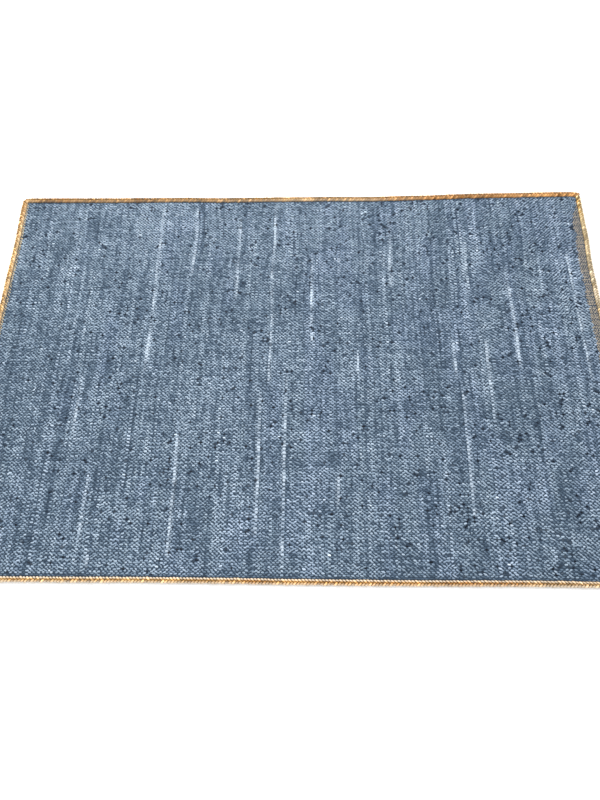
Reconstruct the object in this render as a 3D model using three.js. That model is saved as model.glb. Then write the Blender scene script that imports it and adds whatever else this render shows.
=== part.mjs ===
// A flat-woven leather rug, bound round its edge with plaits of jute, lying on the floor.
//
// Millimetres, +Z up. +X runs along the rug's long sides and +Y along its short sides.
// The origin lies on the floor under the middle of the rug.
import * as THREE from "three";

// Overall size, over the binding
const RUG_LENGTH = 1800;
const RUG_WIDTH = 1200;

// The woven field
const FIELD_THICKNESS = 7;
const FIELD_EDGE_ROUNDING = 1.4; // its soft rims, above and below
const FIELD_EDGE_STEPS = 2;

// The binding, three-strand plaits sewn edge to edge round the field. One runs up the left side and
// along the far one, the other up the right side and along the near one.
const PLAIT_WIDTH = 14.5;
const PLAIT_HEIGHT = 11;
const SEAM_GAP = 0.3; // between a plait and what it is sewn to
const CORNER_RADIUS = 18; // of the plait's outer edge where it turns a corner
const CORNER_STEPS = 6;

// The distance along a side from one section to the next
const SECTION_SPACING = 30;

// How far each side is drawn in from the straight line between its corners, as the loom and the
// sewing left it. `at` is the X of a place on a long side, or the Y of one on a short side.
const FAR_SIDE = [
  { at: -900, drawnIn: 0 },
  { at: -860, drawnIn: 0 },
  { at: -560, drawnIn: 4 },
  { at: -390, drawnIn: 4.6 },
  { at: -235, drawnIn: 8 },
  { at: 80, drawnIn: 8 },
  { at: 230, drawnIn: 10.4 },
  { at: 385, drawnIn: 7.4 },
  { at: 580, drawnIn: 2 },
  { at: 860, drawnIn: 0 },
  { at: 900, drawnIn: 0 },
];
const NEAR_SIDE = [
  { at: -900, drawnIn: 0 },
  { at: -820, drawnIn: 0 },
  { at: -560, drawnIn: 0.6 },
  { at: -400, drawnIn: 1.8 },
  { at: -150, drawnIn: 1.5 },
  { at: -20, drawnIn: 0.4 },
  { at: 240, drawnIn: 0 },
  { at: 600, drawnIn: 1.8 },
  { at: 820, drawnIn: 0 },
  { at: 900, drawnIn: 0 },
];
const LEFT_SIDE = [
  { at: -600, drawnIn: 0 },
  { at: 60, drawnIn: 0 },
  { at: 290, drawnIn: 1.8 },
  { at: 430, drawnIn: 3.6 },
  { at: 540, drawnIn: 0 },
  { at: 600, drawnIn: 0 },
];
const RIGHT_SIDE = [
  { at: -600, drawnIn: 0 },
  { at: 80, drawnIn: 0 },
  { at: 250, drawnIn: 3.2 },
  { at: 330, drawnIn: 4.4 },
  { at: 420, drawnIn: 0 },
  { at: 600, drawnIn: 0 },
];

// The plait's section: a flat underside and two round lobes with a groove between them.
// `across` is in shares of its width, outwards from its middle, and `up` in shares of its height.
const PLAIT_SECTION = [
  { across: -0.42, up: 0 },
  { across: 0.42, up: 0 },
  { across: 0.5, up: 0.3 },
  { across: 0.44, up: 0.72 },
  { across: 0.26, up: 1 },
  { across: 0.08, up: 0.93 },
  { across: 0, up: 0.86 },
  { across: -0.08, up: 0.93 },
  { across: -0.26, up: 1 },
  { across: -0.44, up: 0.72 },
  { across: -0.5, up: 0.3 },
];

// How the section shrinks at a plait's two ends. `back` is the distance from the cut end.
// The blunt end butts against the other plait, and the bound one shows at the rug's corner.
const BLUNT_END = [
  { back: 0, size: 0.8 },
  { back: 1.5, size: 0.96 },
];
const BOUND_END = [
  { back: 0, size: 0.36 },
  { back: 1, size: 0.62 },
  { back: 3, size: 0.86 },
  { back: 7, size: 1 },
];

// The four sides, clockwise from the far right corner
const right = RUG_LENGTH / 2;
const far = RUG_WIDTH / 2;
const SIDES = [
  { start: [right, far], end: [right, -far], outward: [1, 0], measured: "y", rows: RIGHT_SIDE },
  { start: [right, -far], end: [-right, -far], outward: [0, -1], measured: "x", rows: NEAR_SIDE },
  { start: [-right, -far], end: [-right, far], outward: [-1, 0], measured: "y", rows: LEFT_SIDE },
  { start: [-right, far], end: [right, far], outward: [0, 1], measured: "x", rows: FAR_SIDE },
].map((side) => ({
  ...side,
  start: new THREE.Vector2(...side.start),
  end: new THREE.Vector2(...side.end),
  outward: new THREE.Vector2(...side.outward),
}));
const [RIGHT, NEAR, LEFT, FAR] = SIDES;

// How far a side is drawn in at one place, eased from row to row of its table.
function drawnInAt(rows, at) {
  const next = Math.max(1, rows.findIndex((row) => row.at >= at));
  const before = rows[next - 1];
  const after = rows[next];
  const eased = THREE.MathUtils.smoothstep(at, before.at, after.at);
  return THREE.MathUtils.lerp(before.drawnIn, after.drawnIn, eased);
}

function lengthOf(side) {
  return side.start.distanceTo(side.end);
}

// A station is a place on the rug's outer edge with the direction that faces outwards there.
function stationOnSide(side, distance, size = 1) {
  const edge = side.start.clone().lerp(side.end, distance / lengthOf(side));
  edge.addScaledVector(side.outward, -drawnInAt(side.rows, edge[side.measured]));
  return { edge, outward: side.outward, size };
}

// The stations of a side between its two rounded corners.
function stationsOfSide(side) {
  const run = lengthOf(side) - 2 * CORNER_RADIUS;
  const steps = Math.ceil(run / SECTION_SPACING);
  return Array.from({ length: steps + 1 }, (_, i) => stationOnSide(side, CORNER_RADIUS + (run * i) / steps));
}

// The stations round the corner that ends a side, without those that the two sides already have.
function stationsOfCorner(side, nextSide) {
  const centre = side.end
    .clone()
    .addScaledVector(side.outward, -CORNER_RADIUS)
    .addScaledVector(nextSide.outward, -CORNER_RADIUS);
  return Array.from({ length: CORNER_STEPS - 1 }, (_, i) => {
    const angle = ((i + 1) / CORNER_STEPS) * (Math.PI / 2);
    const outward = side.outward
      .clone()
      .multiplyScalar(Math.cos(angle))
      .addScaledVector(nextSide.outward, Math.sin(angle));
    return { edge: centre.clone().addScaledVector(outward, CORNER_RADIUS), outward, size: 1 };
  });
}

// The point that lies a given distance inside the outer edge at a station.
function insideOf(station, inset) {
  return station.edge.clone().addScaledVector(station.outward, -inset);
}

// The woven field: one flat cloth with soft rims, its outline following the binding's inner side.
function fieldGeometry() {
  const stations = SIDES.flatMap((side, i) => [
    ...stationsOfSide(side),
    ...stationsOfCorner(side, SIDES[(i + 1) % SIDES.length]),
  ]);
  const inset = PLAIT_WIDTH + SEAM_GAP + FIELD_EDGE_ROUNDING;
  const outline = new THREE.Shape(stations.map((station) => insideOf(station, inset)));
  const geometry = new THREE.ExtrudeGeometry(outline, {
    depth: FIELD_THICKNESS - 2 * FIELD_EDGE_ROUNDING,
    bevelThickness: FIELD_EDGE_ROUNDING,
    bevelSize: FIELD_EDGE_ROUNDING,
    bevelSegments: FIELD_EDGE_STEPS,
  });
  geometry.translate(0, 0, FIELD_EDGE_ROUNDING);
  return geometry;
}

// The stations of one plait: from its blunt end, beside the other plait, along its first side,
// round the corner and along its last side to its bound end at the rug's next corner.
function plaitStations(firstSide, lastSide) {
  const start = PLAIT_WIDTH + SEAM_GAP;
  const end = lengthOf(lastSide);
  return [
    ...BLUNT_END.map(({ back, size }) => stationOnSide(firstSide, start + back, size)),
    ...stationsOfSide(firstSide),
    ...stationsOfCorner(firstSide, lastSide),
    ...stationsOfSide(lastSide),
    ...BOUND_END.toReversed().map(({ back, size }) => stationOnSide(lastSide, end - back, size)),
  ];
}

// A plait: its section carried from station to station, with a cap on each end.
function plaitGeometry(firstSide, lastSide) {
  const stations = plaitStations(firstSide, lastSide);
  const corners = PLAIT_SECTION.length;
  const positions = stations.flatMap((station) =>
    PLAIT_SECTION.flatMap(({ across, up }) => {
      const point = insideOf(station, PLAIT_WIDTH * (0.5 - across * station.size));
      return [point.x, point.y, up * PLAIT_HEIGHT * station.size];
    }),
  );
  const triangles = [];
  for (let i = 0; i + 1 < stations.length; i++) {
    for (let j = 0; j < corners; j++) {
      const here = i * corners + j;
      const beside = i * corners + ((j + 1) % corners);
      triangles.push(here, beside, beside + corners);
      triangles.push(here, beside + corners, here + corners);
    }
  }
  const lastSection = (stations.length - 1) * corners;
  for (let j = 1; j + 1 < corners; j++) {
    triangles.push(0, j + 1, j);
    triangles.push(lastSection, lastSection + j, lastSection + j + 1);
  }
  const geometry = new THREE.BufferGeometry();
  geometry.setAttribute("position", new THREE.Float32BufferAttribute(positions, 3));
  geometry.setIndex(triangles);
  geometry.computeVertexNormals();
  return geometry;
}

const leather = new THREE.MeshStandardMaterial({ color: 0x758698, roughness: 0.6, metalness: 0 });
const jute = new THREE.MeshStandardMaterial({ color: 0xc19b6a, roughness: 0.9, metalness: 0 });

const field = new THREE.Mesh(fieldGeometry(), leather);
field.name = "woven_field";

const leftFarPlait = new THREE.Mesh(plaitGeometry(LEFT, FAR), jute);
leftFarPlait.name = "plait_left_far";

const rightNearPlait = new THREE.Mesh(plaitGeometry(RIGHT, NEAR), jute);
rightNearPlait.name = "plait_right_near";

const rug = new THREE.Group();
rug.name = "leather_rug";
rug.add(field, leftFarPlait, rightNearPlait);

export default rug;
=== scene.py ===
"""A flat-woven leather rug with a plaited jute binding, laid out on a pale floor.

Metres, +Z up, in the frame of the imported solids. +X runs along the rug's long sides and +Y along
its short ones. Strips of leather run along Y, over and under thin warps that run along X.
"""

import math

import bpy
import numpy as np
from mathutils import Matrix, Vector


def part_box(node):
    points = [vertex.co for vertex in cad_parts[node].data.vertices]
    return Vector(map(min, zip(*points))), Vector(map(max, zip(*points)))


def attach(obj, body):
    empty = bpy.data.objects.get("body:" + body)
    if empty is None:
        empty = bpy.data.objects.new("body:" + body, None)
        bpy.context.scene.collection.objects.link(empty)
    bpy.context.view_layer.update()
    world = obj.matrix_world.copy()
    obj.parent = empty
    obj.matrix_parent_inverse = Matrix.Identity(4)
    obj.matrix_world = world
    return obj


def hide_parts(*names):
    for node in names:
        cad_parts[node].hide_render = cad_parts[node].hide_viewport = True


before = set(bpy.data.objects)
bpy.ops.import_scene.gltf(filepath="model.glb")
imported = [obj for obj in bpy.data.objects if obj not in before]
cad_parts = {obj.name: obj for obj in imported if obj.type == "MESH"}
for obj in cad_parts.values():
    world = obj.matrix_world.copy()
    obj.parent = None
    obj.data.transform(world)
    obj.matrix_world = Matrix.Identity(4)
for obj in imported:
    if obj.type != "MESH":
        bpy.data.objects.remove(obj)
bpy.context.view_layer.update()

MM = 0.001
UP = np.array([0.0, 0.0, 1.0])

# The field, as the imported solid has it
FIELD_LOW, FIELD_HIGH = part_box("woven_field")
HALF_X = FIELD_HIGH.x
HALF_Y = FIELD_HIGH.y
FIELD_THICKNESS = FIELD_HIGH.z - FIELD_LOW.z
DRAWN_IN_MOST = 12 * MM  # no side lies further in than this from its outermost point

# The weave
WARPS = 234
WARP_PITCH = 2 * HALF_Y / WARPS
WARP_WIDTH = 2.2 * MM
LEATHER_STRIPS = 307
LEFT_HEADER_STRIPS = 2  # cotton rows that close the weave at its two ends
RIGHT_HEADER_STRIPS = 7
HEADER_STRIP_WIDTH = 3.4 * MM
STRIPS = LEFT_HEADER_STRIPS + LEATHER_STRIPS + RIGHT_HEADER_STRIPS
WEAVE_MIDDLE = 3.4 * MM  # the height of the weave's middle
WEAVE_RISE = 3.25 * MM  # from the middle to the top of a float
TUCK = 2.5 * MM  # how far the cloth's ground reaches in under the binding
BANDS = 8  # the woven strips are kept in this many objects, each a band that runs along X
MAP_BLOCKS = 4  # on a band's map its strips stand side by side, in this many rows of strips
MAP_COLUMNS = math.ceil(STRIPS / MAP_BLOCKS)
MAP_MARGIN = 0.04  # left free on all sides of a strip's cell on the map, in shares of the cell

# The plaits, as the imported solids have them
PLAIT_WIDTH = 14.5 * MM
SEAM_GAP = 0.3 * MM
RIGHT_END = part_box("plait_left_far")[1].x
FAR_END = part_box("plait_left_far")[1].y

# The strands of the plaits
STRANDS = 3
STRAND_SHIFT = 1 * MM  # how much further out the strands' middle line lies than the solid's
PLAIT_OUT = SEAM_GAP + PLAIT_WIDTH / 2 + STRAND_SHIFT  # from the field's edge to that line
PLAIT_MIDDLE = 5.15 * MM  # the line's height
PLAIT_CORNER = 10.75 * MM  # the radius at which the line turns a corner
PLAIT_TWIST = 25.5 * MM  # the length in which a strand returns to its place
STRAND_SWING = 4.45 * MM
STRAND_RISE = 2.2 * MM
STRAND_HALF_WIDTH = 3.0 * MM
STRAND_HALF_HEIGHT = 2.75 * MM
STRAND_STEPS = 16  # to each twist
STRAND_SIDES = 8
STRAND_MAP_ROWS = 9  # a strand is cut into this many rows on the plait's map
ROW_MARGIN = 0.08  # left free above and below a row, in shares of its height
END_MARGIN = 0.002  # left free at the two ends of a row, in shares of its length
FIBRE_WINDING = 14 * MM  # the length in which a fibre winds one radian round its strand
FIBRE_LENGTH = 16 * MM  # how far the pattern of fibres is drawn out along the strand
FLOOR_GAP = 0.02 * MM  # no strand comes closer to the floor than this


def linear(red, green, blue):
    """A colour on the usual 0 to 255 scale as linear light."""
    share = np.array([red, green, blue]) / 255
    return np.where(share <= 0.04045, share / 12.92, ((share + 0.055) / 1.055) ** 2.4)


def mixed(colour, other, share):
    """A colour with a share of another in it."""
    share = share[..., None]
    return colour * (1 - share) + other * share


def eased(value, low, high):
    """0 below low and 1 above high, with a smooth step between them."""
    share = np.clip((value - low) / (high - low), 0, 1)
    return share * share * (3 - 2 * share)


def smooth_noise(seed, x, y, size_x, size_y):
    """Smooth hills and hollows between -1 and 1, about size_x by size_y each. Every feature of the
    rug that uses it has a seed of its own."""
    cells = 512
    lattice = np.random.default_rng(seed).uniform(-1, 1, (cells, cells))
    x, y = np.broadcast_arrays(np.asarray(x) / size_x + cells, np.asarray(y) / size_y + cells)
    column = np.floor(x).astype(int)
    row = np.floor(y).astype(int)
    ease_x = eased(x - column, 0, 1)
    ease_y = eased(y - row, 0, 1)

    def value(across, along):
        return lattice[(column + across) % cells, (row + along) % cells]

    low = value(0, 0) * (1 - ease_x) + value(1, 0) * ease_x
    high = value(0, 1) * (1 - ease_x) + value(1, 1) * ease_x
    return low * (1 - ease_y) + high * ease_y


def noise_along(seed, place, size):
    """The same noise along one line."""
    return smooth_noise(seed, place, 0.0, size, 1.0)


# The field's outline

def side_line(axis, sign):
    """One side of the field: how far out it lies, at each place along it."""
    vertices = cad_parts["woven_field"].data.vertices
    points = np.empty(len(vertices) * 3)
    vertices.foreach_get("co", points)
    points = points.reshape(-1, 3)
    reach = sign * points[:, axis]
    upright = np.abs(points[:, 2] - FIELD_THICKNESS / 2) < 0.35 * FIELD_THICKNESS
    wall = points[upright & (reach > reach.max() - DRAWN_IN_MOST)]
    wall = wall[np.argsort(wall[:, 1 - axis], kind="stable")]
    return lambda place: np.interp(place, wall[:, 1 - axis], wall[:, axis])


left_line = side_line(0, -1)
right_line = side_line(0, 1)
near_line = side_line(1, -1)
far_line = side_line(1, 1)


def on_field(x, y):
    """Moves places on an exact rectangle onto the field, whose sides are a little uneven."""
    share_x = (x + HALF_X) / (2 * HALF_X)
    share_y = (y + HALF_Y) / (2 * HALF_Y)
    left, right = left_line(y), right_line(y)
    near, far = near_line(x), far_line(x)
    return left + (right - left) * share_x, near + (far - near) * share_y


# Meshes

def mesh_object(name, points, quads, material, tint, uv=None, vectors=None):
    """A smooth mesh object. tint colours each point, uv each corner of each quad, and vectors names
    further sets of one vector for each point."""
    mesh = bpy.data.meshes.new(name)
    mesh.vertices.add(len(points))
    mesh.vertices.foreach_set("co", points.astype(np.float32).ravel())
    mesh.loops.add(quads.size)
    mesh.loops.foreach_set("vertex_index", quads.astype(np.int32).ravel())
    mesh.polygons.add(len(quads))
    mesh.polygons.foreach_set("loop_start", np.arange(0, quads.size, 4, dtype=np.int32))
    mesh.polygons.foreach_set("use_smooth", np.ones(len(quads), bool))
    mesh.update(calc_edges=True)
    colours = mesh.attributes.new("tint", "FLOAT_COLOR", "POINT")
    rgba = np.ones((len(points), 4), np.float32)
    rgba[:, :3] = tint
    colours.data.foreach_set("color", rgba.ravel())
    for key, values in (vectors or {}).items():
        layer = mesh.attributes.new(key, "FLOAT_VECTOR", "POINT")
        layer.data.foreach_set("vector", values.astype(np.float32).ravel())
    if uv is not None:
        layer = mesh.uv_layers.new(name="OFBake")
        layer.data.foreach_set("uv", uv.astype(np.float32).ravel())
    mesh.materials.append(material)
    obj = bpy.data.objects.new(name, mesh)
    bpy.context.scene.collection.objects.link(obj)
    return obj


def grid_quads(rows, columns):
    """The quads of a grid of points that is stored row by row."""
    row, column = np.meshgrid(np.arange(rows - 1), np.arange(columns - 1), indexing="ij")
    corner = (row * columns + column).ravel()
    return np.stack([corner, corner + 1, corner + columns + 1, corner + columns], 1)


# Materials

def new_material(name):
    material = bpy.data.materials.new(name)
    material.use_nodes = True
    tree = material.node_tree
    return material, tree, tree.nodes["Principled BSDF"]


def add_node(tree, kind, inputs=None, **settings):
    node = tree.nodes.new(kind)
    for key, value in settings.items():
        setattr(node, key, value)
    for key, value in (inputs or {}).items():
        if isinstance(value, bpy.types.NodeSocket):
            tree.links.new(value, node.inputs[key])
        else:
            node.inputs[key].default_value = value
    return node


def object_place(tree):
    return add_node(tree, "ShaderNodeTexCoord").outputs["Object"]


def noise_node(tree, place, scale, detail=3.0, roughness=0.55):
    inputs = {"Vector": place, "Scale": scale, "Detail": detail, "Roughness": roughness}
    return add_node(tree, "ShaderNodeTexNoise", inputs).outputs["Fac"]


def ranged(tree, value, low, high, to_low, to_high):
    inputs = {0: value, 1: low, 2: high, 3: to_low, 4: to_high}
    return add_node(tree, "ShaderNodeMapRange", inputs).outputs[0]


def tinted(tree, bsdf, factor):
    """Sends the points' own tint to the shader, made lighter or darker by factor."""
    tint = add_node(tree, "ShaderNodeAttribute", attribute_name="tint").outputs["Color"]
    scaled = add_node(tree, "ShaderNodeVectorMath", {0: tint}, operation="SCALE")
    tree.links.new(factor, scaled.inputs["Scale"])
    tree.links.new(scaled.outputs[0], bsdf.inputs["Base Color"])


def bumped(tree, bsdf, height, depth, strength):
    inputs = {"Height": height, "Distance": depth, "Strength": strength}
    bump = add_node(tree, "ShaderNodeBump", inputs)
    tree.links.new(bump.outputs["Normal"], bsdf.inputs["Normal"])


def leather_material():
    """Dyed leather strip: blotched colour, a fine pebbled grain and a soft uneven gloss."""
    material, tree, bsdf = new_material("slate_leather")
    place = object_place(tree)
    blotch = noise_node(tree, place, 260.0)
    rub = noise_node(tree, place, 900.0, detail=2.0)
    cells = add_node(tree, "ShaderNodeTexVoronoi", {"Vector": place, "Scale": 1500.0})
    light = ranged(tree, blotch, 0.3, 0.7, 0.86, 1.12)
    worn = ranged(tree, rub, 0.35, 0.7, 0.92, 1.1)
    factor = add_node(tree, "ShaderNodeMath", {0: light, 1: worn}, operation="MULTIPLY")
    tinted(tree, bsdf, factor.outputs[0])
    tree.links.new(ranged(tree, blotch, 0.3, 0.7, 0.38, 0.6), bsdf.inputs["Roughness"])
    bumped(tree, bsdf, cells.outputs["Distance"], 0.12 * MM, 0.6)
    bsdf.inputs["Specular IOR Level"].default_value = 0.15
    return material


def cotton_material():
    """The cloth's ground and its thin spun warps: dull, with a fine twist."""
    material, tree, bsdf = new_material("dark_cotton")
    lint = noise_node(tree, object_place(tree), 700.0)
    tinted(tree, bsdf, ranged(tree, lint, 0.3, 0.7, 0.75, 1.25))
    bumped(tree, bsdf, lint, 0.3 * MM, 0.7)
    bsdf.inputs["Roughness"].default_value = 0.9
    bsdf.inputs["Specular IOR Level"].default_value = 0.15
    return material


def jute_material():
    """Jute strand: long pale and dark fibres that follow the strand's own twist."""
    material, tree, bsdf = new_material("golden_jute")
    along = add_node(tree, "ShaderNodeAttribute", attribute_name="fibre").outputs["Vector"]
    fibres = noise_node(tree, along, 3.2, detail=4.0, roughness=0.7)
    tinted(tree, bsdf, ranged(tree, fibres, 0.28, 0.72, 0.55, 1.4))
    tree.links.new(ranged(tree, fibres, 0.3, 0.7, 0.95, 0.7), bsdf.inputs["Roughness"])
    bumped(tree, bsdf, fibres, 0.5 * MM, 0.9)
    bsdf.inputs["Specular IOR Level"].default_value = 0.15
    bsdf.inputs["Sheen Weight"].default_value = 0.05
    bsdf.inputs["Sheen Roughness"].default_value = 0.5
    return material


def floor_material():
    """A pale floor, very faintly mottled."""
    material, tree, bsdf = new_material("pale_floor")
    mottle = noise_node(tree, object_place(tree), 2.0)
    level = ranged(tree, mottle, 0.3, 0.7, 0.94, 0.96)
    grey = {"Red": level, "Green": level, "Blue": level}
    colour = add_node(tree, "ShaderNodeCombineColor", grey)
    tree.links.new(colour.outputs[0], bsdf.inputs["Base Color"])
    bsdf.inputs["Roughness"].default_value = 0.9
    bsdf.inputs["Specular IOR Level"].default_value = 0.1
    return material


# The strips and the warps, where the weave is still an exact rectangle

is_header = np.ones(STRIPS, bool)
is_header[LEFT_HEADER_STRIPS : LEFT_HEADER_STRIPS + LEATHER_STRIPS] = False


def strip_layout():
    """The middle and the width of each strip, from left to right. The headers' cotton rows are all
    alike, and among the strips of leather a few are broader than the rest."""
    rng = np.random.default_rng(11)
    uneven = np.clip(rng.normal(1, 0.09, LEATHER_STRIPS), 0.8, 1.25)
    uneven[rng.random(LEATHER_STRIPS) < 0.06] *= 1.2
    headers = (LEFT_HEADER_STRIPS + RIGHT_HEADER_STRIPS) * HEADER_STRIP_WIDTH
    widths = np.full(STRIPS, HEADER_STRIP_WIDTH)
    widths[~is_header] = uneven * (2 * HALF_X - headers) / uneven.sum()
    return np.cumsum(widths) - widths / 2 - HALF_X, widths


strip_x, strip_width = strip_layout()
warp_y = -HALF_Y + (np.arange(WARPS) + 0.5) * WARP_PITCH

# An array of this shape holds a value for each crossing of a strip and a warp. The four after it
# give a crossing's own numbers and its place.
CROSSINGS = (STRIPS, WARPS)
STRIP = np.arange(STRIPS)[:, None]
WARP = np.arange(WARPS)[None, :]
X = strip_x[:, None]
Y = warp_y[None, :]


# The colours of the weave

LEATHER = linear(130, 147, 164)
LEATHER_UNDYED = linear(186, 198, 210)
# painted shadow colour of the deep gaps between strips, laid on the pressed-down floats
DEEP_GAP_SHADOW = 0.6 * linear(8, 20, 38)
LEFT_HEADER_COTTON = linear(182, 168, 141)
RIGHT_HEADER_COTTON = linear(154, 145, 132)
WARP_COTTON = linear(50, 64, 80)
# darker than the warps: painted shade deep in the weave, behind the floats
SHADED_GROUND_COTTON = 0.8 * WARP_COTTON
LEATHER_CONTRAST = np.array([1.14, 1.0, 0.89])  # how strongly light and shade change each channel

# The dye of the leather varies from length to length
SHORTEST_LENGTH = 0.12
LONGEST_LENGTH = 0.6
LIGHT_LENGTHS = 0.06  # the share of lengths that took the dye badly
DARK_LENGTHS = 0.12  # and of those that took it too well

# It also varies in patches: how strong each kind is, and its usual size in metres
DYE_PATCHES = (
    dict(seed=21, strength=0.05, size_x=0.014, size_y=0.40),
    dict(seed=22, strength=0.07, size_x=0.05, size_y=0.50),
    dict(seed=28, strength=0.12, size_x=0.09, size_y=0.07),
    dict(seed=23, strength=0.08, size_x=0.035, size_y=0.030),
    dict(seed=26, strength=0.07, size_x=0.010, size_y=0.014),
    dict(seed=27, strength=0.06, size_x=0.16, size_y=WARP_PITCH),
)

# Strips so lightly dyed that they show as pale streaks. Each runs at x from near to far, in metres.
PALE_STRIPS = (
    dict(x=-0.61, near=-0.23, far=-0.02),
    dict(x=-0.55, near=-0.51, far=-0.31),
    dict(x=-0.52, near=-0.58, far=-0.51),
    dict(x=-0.43, near=-0.03, far=0.58),
    dict(x=-0.32, near=0.29, far=0.58),
    dict(x=-0.32, near=-0.55, far=-0.20),
    dict(x=-0.18, near=0.21, far=0.54),
    dict(x=-0.15, near=0.01, far=0.09),
    dict(x=-0.09, near=-0.49, far=-0.07),
    dict(x=-0.07, near=-0.07, far=0.58),
    dict(x=-0.02, near=-0.58, far=-0.02),
    dict(x=0.05, near=0.05, far=0.39),
    dict(x=0.12, near=-0.42, far=-0.31),
    dict(x=0.13, near=0.30, far=0.38),
    dict(x=0.18, near=-0.05, far=0.06),
    dict(x=0.29, near=0.25, far=0.54),
    dict(x=0.46, near=-0.05, far=0.09),
    dict(x=0.47, near=-0.45, far=-0.07),
    dict(x=0.52, near=0.22, far=0.42),
    dict(x=0.55, near=-0.18, far=0.09),
    dict(x=0.64, near=-0.02, far=0.34),
    dict(x=0.83, near=-0.06, far=0.38),
)


def leather_lengths():
    """How light and how blue each strip is at each warp. A strip is pieced together from shorter
    lengths of leather, each with a dye of its own."""
    rng = np.random.default_rng(12)
    light = np.zeros(CROSSINGS)
    blue = np.zeros(CROSSINGS)
    for strip in range(STRIPS):
        start = -int(rng.integers(0, 60))
        while start < WARPS:
            stop = start + int(rng.uniform(SHORTEST_LENGTH, LONGEST_LENGTH) / WARP_PITCH)
            warps = slice(max(start, 0), max(stop, 0))
            tone = rng.normal(0, 0.105)
            chance = rng.random()
            if chance < LIGHT_LENGTHS:
                tone += rng.uniform(0.08, 0.22)
            elif chance > 1 - DARK_LENGTHS:
                tone -= rng.uniform(0.1, 0.3)
            light[strip, warps] = tone
            blue[strip, warps] = rng.normal(0, 0.2)
            start = stop
    return light, blue


def pale_share():
    """How far each strip at each warp is one of the pale streaks. The strip beside a streak is a
    little pale too."""
    rng = np.random.default_rng(13)
    share = np.zeros(CROSSINGS)
    for number, streak in enumerate(PALE_STRIPS):
        strip = int(np.abs(strip_x - streak["x"]).argmin())
        beside = strip + (1 if number % 2 else -1)
        inside = np.minimum(warp_y - streak["near"], streak["far"] - warp_y)
        worn = 0.55 + 0.37 * noise_along(50 + number, warp_y, 0.03)
        pale = eased(inside, 0, 30 * MM) * worn
        broken = pale * eased(rng.normal(0.8, 0.25, WARPS), 0.1, 0.6)
        share[strip] = np.maximum(share[strip], broken)
        share[beside] = np.maximum(share[beside], 0.35 * pale)
    return share


def shadowed_deep_floats():
    """Which floats are pressed down and painted dark, a painted shadow for the deep gaps between
    strips: short slanting dashes, in loose clumps.
    """
    clumps = smooth_noise(25, X, Y, 0.03, 0.035) + 0.25 * X / HALF_X
    dashes = smooth_noise(29, X - 0.5 * Y, Y + 0.5 * X, 0.015, 0.0026)
    return (dashes > 0.83 - 0.28 * eased(clumps, 0.0, 0.9)) & ~is_header[:, None]


def bare_header():
    """Where the header's rows show their cotton. The blue of the leather has rubbed off on the rows
    beside it, raggedly, and on all of them at the far right corner."""
    ragged = smooth_noise(38, X, Y, 0.02, 0.012) + 0.6 * smooth_noise(39, X, Y, 0.01, 0.05)
    width = RIGHT_HEADER_STRIPS * HEADER_STRIP_WIDTH * eased(HALF_Y - Y, 0, 0.1)
    rubbed = (X > 0) & (HALF_X - X > width + 3 * MM * (ragged - 0.6))
    return is_header[:, None] & ~rubbed


def dye_tone(rng):
    """How much lighter or darker than usual the dye is at each crossing, and how blue."""
    light, blue = leather_lengths()
    for patch in DYE_PATCHES:
        noise = smooth_noise(patch["seed"], X, Y, patch["size_x"], patch["size_y"])
        light += patch["strength"] * noise
    light += 0.09 * smooth_noise(37, STRIP, Y, 1.0, 0.08)
    light -= 0.30 * eased(smooth_noise(40, STRIP, Y, 1.0, 0.045), 0.4, 0.9)
    light += rng.normal(0, 0.18, CROSSINGS)
    light = np.where(light > 0, 0.6 * light, light)
    violet = eased(smooth_noise(24, X, Y, 0.05, 0.12) + 0.4 * X / HALF_X, 0.0, 0.7)
    return light, blue + violet - 0.3


def weave_tints():
    """The colour of each strip where it crosses each warp."""
    rng = np.random.default_rng(14)
    light, blue = dye_tone(rng)
    cast = np.stack([-0.015 * blue, -0.015 * blue, 0.025 * blue], -1)
    tint = LEATHER * np.exp(1.8 * light[..., None] * LEATHER_CONTRAST + cast)
    tint = mixed(tint, LEATHER_UNDYED, pale_share())
    shadow_darkness = np.minimum(rng.uniform(0.6, 1.2, CROSSINGS), 1)
    # painted shadow on the pressed-down floats
    tint = mixed(tint, DEEP_GAP_SHADOW, shadow_darkness * shadowed_deep_floats())
    cotton = np.where(X[..., None] < 0, LEFT_HEADER_COTTON, RIGHT_HEADER_COTTON)
    thread = cotton * np.exp(rng.normal(0, 0.08, CROSSINGS))[..., None]
    return np.where(bare_header()[..., None], thread, tint)


# The weave's shape

# A float is where a strip lies over a warp. Its widths are in shares of the strip's width, and its
# lengths in shares of the distance between warps.
FLOAT_WIDTH = 1.4  # across its middle
FLOAT_TAPER = 0.35  # how much narrower its ends are
HIDDEN_WIDTH = 0.9  # of the strip where it passes under a warp
FLOAT_REACH = 0.35  # from a float's middle to either end, along its sides
NOSE_REACH = 0.03  # how much further the ends reach in the middle of the strip
PALE_REACH = 0.2  # and how much further in a pale streak
DEEP_HEIGHT = 0.45  # of a dark float that is pressed down, in shares of the usual height
ACROSS = np.array([-1.0, 0.0, 1.0])  # the points across a strip, from its left side to its right


def wander(x, y):
    """Moves places off their straight lines, as cloth strays on a hand loom. Its sides stay."""
    held_x = eased(HALF_X - np.abs(x), 0, 0.04)
    held_y = eased(HALF_Y - np.abs(y), 0, 0.04)
    stray_x = 2.2 * MM * smooth_noise(31, x, y, 0.07, 0.15) * held_x
    stray_y = 1.2 * MM * smooth_noise(32, x, y, 0.12, 0.09) * held_y
    return x + stray_x, y + stray_y


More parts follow.
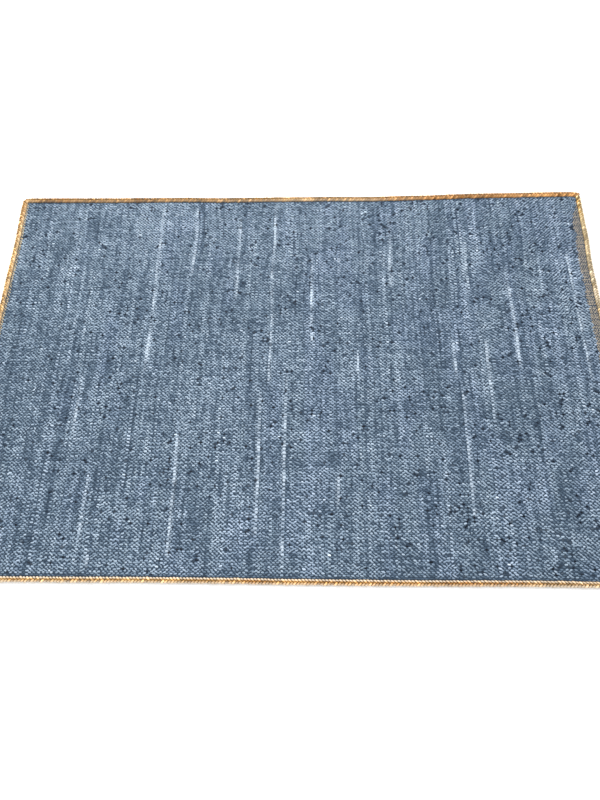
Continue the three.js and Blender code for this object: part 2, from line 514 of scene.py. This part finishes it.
def float_traits():
    """What sets the strips apart at each crossing: how plump and how broad they are, how far they
    are pushed along X and Y, how much they slant, and how pale they are."""
    rng = np.random.default_rng(15)
    deep = shadowed_deep_floats()
    pale = pale_share()
    plump = np.clip(rng.normal(0.95, 0.12, CROSSINGS), 0.5, 1.05)
    plump = np.where(deep, DEEP_HEIGHT, np.maximum(plump, pale))
    broad = np.clip(rng.normal(1, 0.14, CROSSINGS), 0.65, 1.35) * (1 - 0.1 * deep)
    push_x = rng.normal(0, 0.4 * MM, CROSSINGS)
    push_x = push_x + 0.8 * MM * smooth_noise(34, STRIP, Y, 1.0, 0.05)
    push_y = rng.normal(0, 0.5 * MM, CROSSINGS)
    push_y = push_y + 0.3 * MM * smooth_noise(35, STRIP, Y, 1.0, 0.04)
    push_y = push_y + 1.8 * MM * smooth_noise(36, X, WARP, 0.03, 1.0)
    far_right = 0.9 * X / HALF_X + 0.9 * Y / HALF_Y - 1.0
    turned = eased(0.5 * smooth_noise(33, X, Y, 0.05, 0.06) + far_right, 0.0, 0.4)
    slant = (0.12 + 0.05 * X / HALF_X) * (1 - 1.8 * turned)
    slant = (slant + rng.normal(0, 0.2, CROSSINGS)) * (1 - pale)
    return plump, broad, push_x, push_y, slant, pale


def strip_sections(parity):
    """The cross sections along a strip: the warp each is at, its place on it, and whether the strip
    is on top there. A float over a warp has four sections and one under it has one."""
    rows = []
    for warp in range(WARPS):
        on_top = warp % 2 == parity
        places = (-1, -0.4, 0.4, 1) if on_top else (0,)
        rows += [(warp, place, on_top) for place in places]
    return [np.array(column) for column in zip(*rows)]


def strip_height(place, on_top, plump, pale):
    """How high a strip's surface lies, from -1 at the weave's underside to 1 at its top."""
    rounded = 1 - 0.4 * ACROSS**2 * (1 - 0.7 * place**2)
    crown = (1 - 0.62 * place**2) * rounded * plump
    belly = -0.95 * (1 - 0.2 * ACROSS**2) + 1.2 * pale
    return np.where(on_top, crown, belly)


def pressed(height, x, y):
    """The same height, pressed down where the binding holds the cloth."""
    at_ends = 0.6 + 0.4 * eased(HALF_X - np.abs(x), 0, 5 * MM)
    at_seams = 0.25 + 0.75 * eased(HALF_Y - np.abs(y), 1 * MM, 8 * MM)
    return height * np.where(height > 0, at_ends * at_seams, 1)


def strip_shade(height, y, pale, header):
    """Painted shade on a strip: darker round its floats, and a painted shadow along the two long
    seams beside the binding, deeper along the far one.
    """
    # painted shadow beside the binding, deeper on the far side than on the near one
    darkest = np.where(y > 0, 0.3, 0.6)
    painted_crease_shadow = darkest + (1 - darkest) * eased(HALF_Y - np.abs(y), 1 * MM, 9 * MM)
    shade = (0.6 + 0.4 * eased(np.abs(height), 0.1, 0.8)) * painted_crease_shadow
    shade = np.maximum(shade, 0.75 * pale)
    return np.where(header, 0.35 + 0.65 * shade, shade)


def woven_strips(parity, tints, traits):
    """The points and tints of every other strip, as arrays of strip, section and side. The tints
    carry painted shade.
    """
    strips = np.arange(parity, STRIPS, 2)
    warp, place, on_top = strip_sections(parity)
    crossing = np.ix_(strips, warp)
    plump, broad, push_x, push_y, slant, pale = (trait[crossing][..., None] for trait in traits)
    place, on_top = place[None, :, None], on_top[None, :, None]

    half = strip_width[strips][:, None, None] / 2 * broad
    half = half * np.where(on_top, FLOAT_WIDTH - FLOAT_TAPER * place**2, HIDDEN_WIDTH)
    reach = (FLOAT_REACH + NOSE_REACH * (ACROSS == 0) + PALE_REACH * pale) * WARP_PITCH
    lean = slant * np.where(on_top, 1.0, 0.3)
    run = place * reach
    x = strip_x[strips][:, None, None] + push_x + ACROSS * half - lean * run
    y = warp_y[warp][None, :, None] + push_y + run - lean * ACROSS * half
    x = np.clip(x, -HALF_X, HALF_X)
    y = np.clip(y, -HALF_Y, HALF_Y)

    height = pressed(strip_height(place, on_top, plump, pale), x, y)
    shade = strip_shade(height, y, pale, is_header[strips][:, None, None])
    tint = tints[crossing][:, :, None, :] * shade[..., None] ** LEATHER_CONTRAST
    x, y = on_field(*wander(x, y))
    return np.stack([x, y, WEAVE_MIDDLE + WEAVE_RISE * height], -1), tint


def band_border(parity, band):
    """The section at which a band begins and the band before it ends: inside the rug, the first one
    under a warp from the border on."""
    warp, _, on_top = strip_sections(parity)
    if band == 0:
        return 0
    if band == BANDS:
        return len(warp) - 1
    return int(np.flatnonzero((warp >= round(band * WARPS / BANDS)) & ~on_top)[0])


def strip_map(strips, sections):
    """Where the points of a band's strips lie on its map, each strip in a column of its own."""
    column = (strips % MAP_COLUMNS)[:, None, None]
    block = (strips // MAP_COLUMNS)[:, None, None]
    along = (np.arange(sections) / (sections - 1))[None, :, None]
    u = (column + 0.5 + (0.5 - MAP_MARGIN) * ACROSS) / MAP_COLUMNS
    v = (block + MAP_MARGIN + (1 - 2 * MAP_MARGIN) * along) / MAP_BLOCKS
    return np.stack(np.broadcast_arrays(u, v), -1)


def weave_band(band, woven, material):
    """What lies in one band of all the strips."""
    points, tints, quads, maps = [], [], [], []
    offset = 0
    for parity, (places, colours) in enumerate(woven):
        strips = np.arange(parity, STRIPS, 2)
        start = band_border(parity, band)
        stop = band_border(parity, band + 1) + 1
        points_each = (stop - start) * len(ACROSS)
        first = (np.arange(len(strips)) * points_each)[:, None, None]
        faces = (grid_quads(stop - start, len(ACROSS)) + first).reshape(-1, 4)
        points.append(places[:, start:stop].reshape(-1, 3))
        tints.append(colours[:, start:stop].reshape(-1, 3))
        maps.append(strip_map(strips, stop - start).reshape(-1, 2)[faces])
        quads.append(faces + offset)
        offset += len(strips) * points_each
    points, quads, tints, maps = (np.concatenate(part) for part in (points, quads, tints, maps))
    return mesh_object(f"leather_weave_{band + 1}", points, quads, material, tints, maps)


def weave_bands(material):
    """The woven strips, in bands that lie side by side across the rug."""
    tints = weave_tints()
    traits = float_traits()
    woven = [woven_strips(parity, tints, traits) for parity in (0, 1)]
    return [weave_band(band, woven, material) for band in range(BANDS)]


def warp_threads(material):
    """The thin warps, which show as dark threads between the floats."""
    rng = np.random.default_rng(16)
    places = 46
    x = np.linspace(-HALF_X, HALF_X, places)[None, :, None]
    y = warp_y[:, None, None] + np.array([-0.5, 0.5]) * WARP_WIDTH
    x, y = np.broadcast_arrays(x, np.clip(y, -HALF_Y, HALF_Y))
    x, y = on_field(*wander(x, y))
    z = np.full(x.shape, WEAVE_MIDDLE + 0.5 * MM)
    points = np.stack([x, y, z], -1).reshape(-1, 3)
    tint = (WARP_COTTON * np.exp(rng.normal(0, 0.25, x.shape))[..., None]).reshape(-1, 3)
    quads = grid_quads(places, 2) + (np.arange(WARPS) * places * 2)[:, None, None]
    return mesh_object("warp_threads", points, quads.reshape(-1, 4), material, tint)


def shaded_ground_sheet(material):
    """The cloth's ground: the closed mass of warps in its middle, behind the floats, as a dark
    sheet whose colour is also painted shade for the depths of the weave.
    """
    columns, rows = 121, 81
    x, y = np.meshgrid(np.linspace(-HALF_X, HALF_X, columns), np.linspace(-HALF_Y, HALF_Y, rows))
    x, y = on_field(x, y)
    x = x * (HALF_X + TUCK) / HALF_X
    y = y * (HALF_Y + TUCK) / HALF_Y
    points = np.stack([x, y, np.full(x.shape, WEAVE_MIDDLE)], -1).reshape(-1, 3)
    tint = np.tile(SHADED_GROUND_COTTON, (len(points), 1))
    return mesh_object("shaded_warp_ground", points, grid_quads(rows, columns), material, tint)


# The line of the plaits

SIDE_SHARES = np.linspace(0, 1, 240)  # of the way along a side
CORNER_SHARES = SIDE_SHARES[8:-8:8]  # of the way round a corner, without its ends


def beside_field(line, out_x, out_y, start, stop):
    """A plait's middle line along one side of the field, from start to stop: its x and y, and the
    direction out of the rug."""
    place = start + (stop - start) * SIDE_SHARES
    side = line(place) + (out_x + out_y) * PLAIT_OUT
    x, y = (side, place) if out_x else (place, side)
    return np.stack([x, y, 0 * place + out_x, 0 * place + out_y], 1)


def round_corner(x, y, angle):
    """The same round a corner whose middle is at x and y."""
    out_x, out_y = np.cos(angle), np.sin(angle)
    return np.stack([x + PLAIT_CORNER * out_x, y + PLAIT_CORNER * out_y, out_x, out_y], 1)


def plait_line(heading):
    """The middle line of a plait, as evenly spaced places: how far along it each is, its x and y,
    and the direction that faces out of the rug there.

    heading +1 is the plait that runs up the left side and then along the far one. heading -1 is the
    one that runs along the near side and then up the right one. Both go from the near left corner
    to the far right one."""
    turn_x = HALF_X + PLAIT_OUT - PLAIT_CORNER
    turn_y = HALF_Y + PLAIT_OUT - PLAIT_CORNER
    blunt_end = FAR_END - PLAIT_WIDTH - SEAM_GAP
    turned = CORNER_SHARES * math.pi / 2
    if heading > 0:
        first = beside_field(left_line, -1, 0, -blunt_end, turn_y)
        corner = round_corner(-turn_x, turn_y, math.pi - turned)
        last = beside_field(far_line, 0, 1, -turn_x, RIGHT_END)
    else:
        first = beside_field(near_line, 0, -1, -RIGHT_END, turn_x)
        corner = round_corner(turn_x, -turn_y, turned - math.pi / 2)
        last = beside_field(right_line, 1, 0, -turn_y, blunt_end)
    line = np.concatenate([first, corner, last])
    spans = np.linalg.norm(np.diff(line[:, :2], axis=0), axis=1)
    length = np.concatenate([[0], np.cumsum(spans)])
    count = round(length[-1] / PLAIT_TWIST * STRAND_STEPS)
    at = np.linspace(0, length[-1], count + 1)
    line = np.stack([np.interp(at, length, column) for column in line.T], 1)
    out = line[:, 2:] / np.linalg.norm(line[:, 2:], axis=1, keepdims=True)
    return at, line[:, :2], out


def drawn_together(at, heading):
    """How full a plait is along its length. It narrows towards its bound end, which is where the
    plait up the left side stops and where the other one starts, and a little at both ends."""
    from_start, from_stop = at, at[-1] - at
    from_bound = from_stop if heading > 0 else from_start
    bound = 0.4 + 0.6 * eased(from_bound, -2 * MM, 8 * MM)
    return bound * (0.9 + 0.1 * eased(np.minimum(from_start, from_stop), 0, 2 * MM))


# The colours of the plaits

# pale loops: partly bleached jute, partly painted light on a lit flank
BLEACHED_AND_LIT_JUTE = linear(208, 199, 182)
JUTE_CONTRAST = np.array([0.85, 1.0, 1.3])  # how strongly shade darkens each channel

# The dye of each plait along its length, from the near left corner. at is the distance in metres.
# inner and outer say how pale the loops beside the field and those away from it are, partly
# bleached jute and partly painted light on a lit flank, and flank how much light reaches down
# between the plait and the field, painted as shade. wide is the plait's width, in shares of what
# its strands' sizes give; where it is wider, it lies further in over the field's edge. groove is
# how dark the painted shade makes the plait's middle line.
LEFT_FAR_DYES = (
    dict(at=0.0, dye=(178, 139, 87), inner=0.2, outer=0.2, flank=0.75, wide=1.09, groove=0.1),
    dict(at=0.55, dye=(184, 144, 87), inner=0.2, outer=0.2, flank=0.75, wide=1.09, groove=0.1),
    dict(at=1.05, dye=(184, 150, 100), inner=0.2, outer=0.3, flank=0.8, wide=1.09, groove=0.1),
    dict(at=1.2, dye=(143, 109, 66), inner=0.1, outer=0.0, flank=1.0, wide=1.24, groove=0.1),
    dict(at=1.45, dye=(134, 101, 60), inner=0.1, outer=0.0, flank=1.0, wide=1.24, groove=0.1),
    dict(at=1.8, dye=(138, 105, 64), inner=0.1, outer=0.1, flank=1.0, wide=1.2, groove=0.1),
    dict(at=2.0, dye=(156, 124, 80), inner=0.2, outer=0.2, flank=1.0, wide=1.2, groove=0.1),
    dict(at=2.3, dye=(156, 121, 76), inner=0.2, outer=0.2, flank=1.0, wide=1.2, groove=0.1),
    dict(at=2.5, dye=(158, 116, 72), inner=0.0, outer=0.4, flank=0.85, wide=1.26, groove=0.1),
    dict(at=3.0, dye=(164, 120, 72), inner=0.0, outer=0.5, flank=0.85, wide=1.3, groove=0.1),
)
NEAR_RIGHT_DYES = (
    dict(at=0.0, dye=(187, 148, 94), inner=0.7, outer=0.6, flank=0.1, wide=1.05, groove=0.5),
    dict(at=0.5, dye=(185, 146, 90), inner=0.7, outer=0.6, flank=0.1, wide=1.05, groove=0.5),
    dict(at=0.9, dye=(182, 139, 83), inner=0.7, outer=0.5, flank=0.1, wide=1.05, groove=0.5),
    dict(at=1.4, dye=(180, 135, 79), inner=0.7, outer=0.5, flank=0.1, wide=1.05, groove=0.5),
    dict(at=1.85, dye=(176, 154, 118), inner=0.2, outer=0.7, flank=0.4, wide=1.09, groove=0.2),
    dict(at=2.6, dye=(172, 157, 131), inner=0.0, outer=1.0, flank=0.4, wide=1.09, groove=0.2),
    dict(at=3.0, dye=(191, 167, 120), inner=0.0, outer=0.8, flank=0.4, wide=1.09, groove=0.2),
)


def from_rows(dyes, at, key):
    """The value of one column of a plait's table at each place along the plait."""
    return np.interp(at, [row["at"] for row in dyes], [row[key] for row in dyes])


def strand_dye(dyes, at, seed, strand):
    """The colour of a strand along its length: the plait's dye and the strand's own patches."""
    places = [row["at"] for row in dyes]
    colours = np.array([linear(*row["dye"]) for row in dyes])
    dye = np.stack([np.interp(at, places, channel) for channel in colours.T], -1)
    patch = noise_along(seed, at, 0.035) + 1.2 * noise_along(seed + 10, at, 0.009)
    bleached = eased(noise_along(seed + 20, at, 0.02), 0.35, 0.8)
    rusty = eased(noise_along(seed + 30, at, 0.05), 0.4, 0.8)
    tone = 0.38 * patch + 0.30 * bleached - 0.40 * rusty + 0.14 * (strand - 1)
    cast = np.stack([0 * at, -0.22 * rusty + 0.04 * bleached, -0.7 * rusty + 0.2 * bleached], -1)
    return dye * np.exp(tone[..., None] + cast)


def strand_shade(dyes, at, across, height, facing):
    """The painted shade on a strand: darker between the strands, low down and above all beside the
    field, and in the plait's groove. facing is 1 where the strand faces straight out of the plait."""
    flank = from_rows(dyes, at, "flank")[:, None]
    groove = from_rows(dyes, at, "groove")[:, None]
    lowest = np.where(across < 0, flank, 0.6)
    shade = lowest + (1 - lowest) * eased(height, -0.2, 0.8)
    shade = shade * (0.04 + 1.25 * eased(facing, 0.35, 1.0))
    return shade * (1 - groove * (1 - eased(np.abs(across), 0.3 * MM, 2.4 * MM)))


def strand_tint(dyes, at, seed, strand, skin, place, middle, out):
    """The colour of each point of a strand, with painted light and shade. place is the strand's own
    middle line, and middle the plait's."""
    inner = from_rows(dyes, at, "inner")[:, None]
    outer = from_rows(dyes, at, "outer")[:, None]
    across = ((skin - middle[:, None]) * out[:, None]).sum(-1)
    height = (skin[..., 2] - PLAIT_MIDDLE) / (STRAND_RISE + STRAND_HALF_HEIGHT)
    from_strand = skin - place[:, None]
    from_plait = skin - middle[:, None] + 2 * MM * UP
    facing = (from_strand * from_plait).sum(-1)
    facing = facing / np.linalg.norm(from_strand, axis=-1) / np.linalg.norm(from_plait, axis=-1)
    # paler loops: partly bleached jute, partly painted light
    pale = inner * eased(-across, 2 * MM, 5 * MM) + outer * eased(across, 2 * MM, 5.5 * MM)
    tint = mixed(strand_dye(dyes, at, seed + strand, strand)[:, None], BLEACHED_AND_LIT_JUTE, pale)
    return tint * strand_shade(dyes, at, across, height, facing)[..., None] ** JUTE_CONTRAST


# The strands of a plait

CENTRED_WIDTH = 1.03  # of a plait that lies centred on the middle line
AROUND = np.arange(STRAND_SIDES) * 2 * math.pi / STRAND_SIDES  # the angles of a strand's sides


def strand_skin(place, wide, high):
    """The points round a strand, whose half width and half height vary along it."""
    ahead = np.gradient(place, axis=0)
    ahead /= np.linalg.norm(ahead, axis=1, keepdims=True)
    side = np.cross(ahead, UP)
    side /= np.linalg.norm(side, axis=1, keepdims=True)
    above = np.cross(side, ahead)
    wide = wide[:, None, None] * np.cos(AROUND)[None, :, None]
    high = high[:, None, None] * np.sin(AROUND)[None, :, None]
    skin = place[:, None] + wide * side[:, None] + high * above[:, None]
    skin[..., 2] = np.maximum(skin[..., 2], FLOOR_GAP)
    return skin


def strand_fibre(strand, at):
    """The place of each point among the strand's fibres, which wind round it."""
    twist = AROUND[None, :] + (at / FIBRE_WINDING)[:, None]
    lengthways = np.broadcast_to((at / FIBRE_LENGTH)[:, None], twist.shape)
    return np.stack([np.cos(twist) + 7 * strand, np.sin(twist), lengthways], -1)


def strand_faces(strand, count):
    """The quads of a strand of count rings, and their corners on the plait's map. Three quads close
    each end, and all six of them lie on the map where the strand's first quad does."""
    step, turn = np.meshgrid(np.arange(count - 1), np.arange(STRAND_SIDES), indexing="ij")
    step, turn = step.ravel(), turn.ravel()
    beside = (turn + 1) % STRAND_SIDES
    base = strand * count * STRAND_SIDES
    here = base + step * STRAND_SIDES
    ahead = here + STRAND_SIDES
    quads = np.stack([here + turn, ahead + turn, ahead + beside, here + beside], 1)

    share = step / (count - 1) * STRAND_MAP_ROWS
    row = np.floor(share + 1e-9)
    length = 1 - 2 * END_MARGIN
    left = END_MARGIN + length * (share - row)
    right = np.minimum(left + length * STRAND_MAP_ROWS / (count - 1), 1)
    rows = STRANDS * STRAND_MAP_ROWS
    side_height = (1 - 2 * ROW_MARGIN) / STRAND_SIDES
    low = (strand * STRAND_MAP_ROWS + row + ROW_MARGIN + side_height * turn) / rows
    high = low + side_height / rows
    corners = np.stack([left, low, right, low, right, high, left, high], 1).reshape(-1, 4, 2)

    ring = np.array([[0, 1, 2, 3], [0, 3, 4, 7], [7, 4, 5, 6]])
    first_cap = base + ring
    last_cap = base + (count - 1) * STRAND_SIDES + ring[:, ::-1]
    quads = np.concatenate([quads, first_cap, last_cap])
    cap_corners = np.repeat(corners[:1], 2 * len(ring), axis=0)
    return quads, np.concatenate([corners, cap_corners])


def plait(name, heading, dyes, seed, material):
    """A flat plait of three jute strands, with its ends drawn together."""
    at, middle, out = plait_line(heading)
    width = from_rows(dyes, at, "wide")
    gather = drawn_together(at, heading)
    inwards = (width - CENTRED_WIDTH) * (STRAND_SWING + STRAND_HALF_WIDTH)
    middle = middle - inwards[:, None] * out
    middle = np.concatenate([middle, np.full((len(at), 1), PLAIT_MIDDLE)], 1)
    out = np.concatenate([out, np.zeros((len(at), 1))], 1)
    strands = []
    for strand in range(STRANDS):
        phase = 2 * math.pi * (at / PLAIT_TWIST + strand / STRANDS)
        loose = 1 + 0.12 * noise_along(seed + 40 + strand, at, 0.012)
        full = gather * (1 + 0.12 * noise_along(seed + 50 + strand, at, 0.008))
        swing = width * STRAND_SWING * np.sin(phase) * gather * loose
        rise = -STRAND_RISE * np.sin(2 * phase) * gather
        place = middle + swing[:, None] * out + rise[:, None] * UP
        skin = strand_skin(place, width * STRAND_HALF_WIDTH * full, STRAND_HALF_HEIGHT * full)
        tint = strand_tint(dyes, at, seed, strand, skin, place, middle, out)
        fibre = strand_fibre(strand, at)
        quads, corners = strand_faces(strand, len(at))
        strands.append(
            (skin.reshape(-1, 3), quads, tint.reshape(-1, 3), corners, fibre.reshape(-1, 3))
        )
    points, quads, tints, maps, fibres = (np.concatenate(part) for part in zip(*strands))
    return mesh_object(name, points, quads, material, tints, maps, {"fibre": fibres})


# The floor, the light and the camera

FLOOR_HALF = 6.0
DAYLIGHT = 0.95

# The photograph's view. The angles are in radians.
EYE = Vector((0.0687, -0.6617, 1.4677))
VIEW_BELOW_HORIZON = 1.2081
VIEW_TO_RIGHT = -0.0923
VIEW_ROLL = -0.0868
IMAGE_HEIGHT = 800  # pixels
FOCUS = 560  # pixels
SENSOR = 36  # millimetres, along the image's longer side, which is its height


def pale_floor():
    places = 9
    line = np.linspace(-FLOOR_HALF, FLOOR_HALF, places)
    x, y = np.meshgrid(line, line)
    points = np.stack([x, y, 0 * x], -1).reshape(-1, 3)
    quads = grid_quads(places, places)
    return mesh_object("floor", points, quads, floor_material(), np.ones((len(points), 3)))


def area_light(name, place, size, power):
    """A square light that faces the middle of the rug."""
    light = bpy.data.lights.new(name, "AREA")
    light.shape = "SQUARE"
    light.size = size
    light.energy = power
    obj = bpy.data.objects.new(name, light)
    towards_rug = (-Vector(place)).to_track_quat("-Z", "Y")
    obj.matrix_world = Matrix.Translation(place) @ towards_rug.to_matrix().to_4x4()
    bpy.context.scene.collection.objects.link(obj)


def studio_light():
    world = bpy.data.worlds.new("studio")
    world.use_nodes = True
    background = world.node_tree.nodes["Background"]
    background.inputs["Color"].default_value = (1.0, 1.0, 1.0, 1.0)
    background.inputs["Strength"].default_value = DAYLIGHT
    bpy.context.scene.world = world
    area_light("key", place=(-0.5, 2.3, 3.2), size=1.6, power=195)
    area_light("fill", place=(-1.0, -2.4, 2.8), size=1.8, power=21)
    bpy.context.scene.view_settings.view_transform = "Standard"


def photo_camera():
    """The camera above the near side, looking down at the rug, as in the photograph."""
    forwards = Vector((math.sin(VIEW_TO_RIGHT), math.cos(VIEW_TO_RIGHT), 0))
    level = Vector((math.cos(VIEW_TO_RIGHT), -math.sin(VIEW_TO_RIGHT), 0))
    downwards = Vector((0, 0, -math.sin(VIEW_BELOW_HORIZON)))
    ahead = forwards * math.cos(VIEW_BELOW_HORIZON) + downwards
    upward = level.cross(ahead)
    side = level * math.cos(VIEW_ROLL) + upward * math.sin(VIEW_ROLL)
    top = -level * math.sin(VIEW_ROLL) + upward * math.cos(VIEW_ROLL)
    camera = bpy.data.cameras.new("photo_camera")
    camera.sensor_width = SENSOR
    camera.lens = SENSOR * FOCUS / IMAGE_HEIGHT
    obj = bpy.data.objects.new("photo_camera", camera)
    turned = Matrix((side, top, -ahead)).transposed().to_4x4()
    obj.matrix_world = Matrix.Translation(EYE) @ turned
    bpy.context.scene.collection.objects.link(obj)
    bpy.context.scene.camera = obj


photo_camera()
studio_light()
floor = pale_floor()

leather = leather_material()
cotton = cotton_material()
jute = jute_material()
bands = weave_bands(leather)
ground = shaded_ground_sheet(cotton)
warps = warp_threads(cotton)
left_far = plait("jute_plait_left_far", 1, LEFT_FAR_DYES, 100, jute)
right_near = plait("jute_plait_right_near", -1, NEAR_RIGHT_DYES, 200, jute)

for piece in (*bands, ground, warps):
    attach(piece, "root")
for piece in (left_far, right_near):
    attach(piece, "root")
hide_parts("woven_field")
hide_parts("plait_left_far")
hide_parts("plait_right_near")
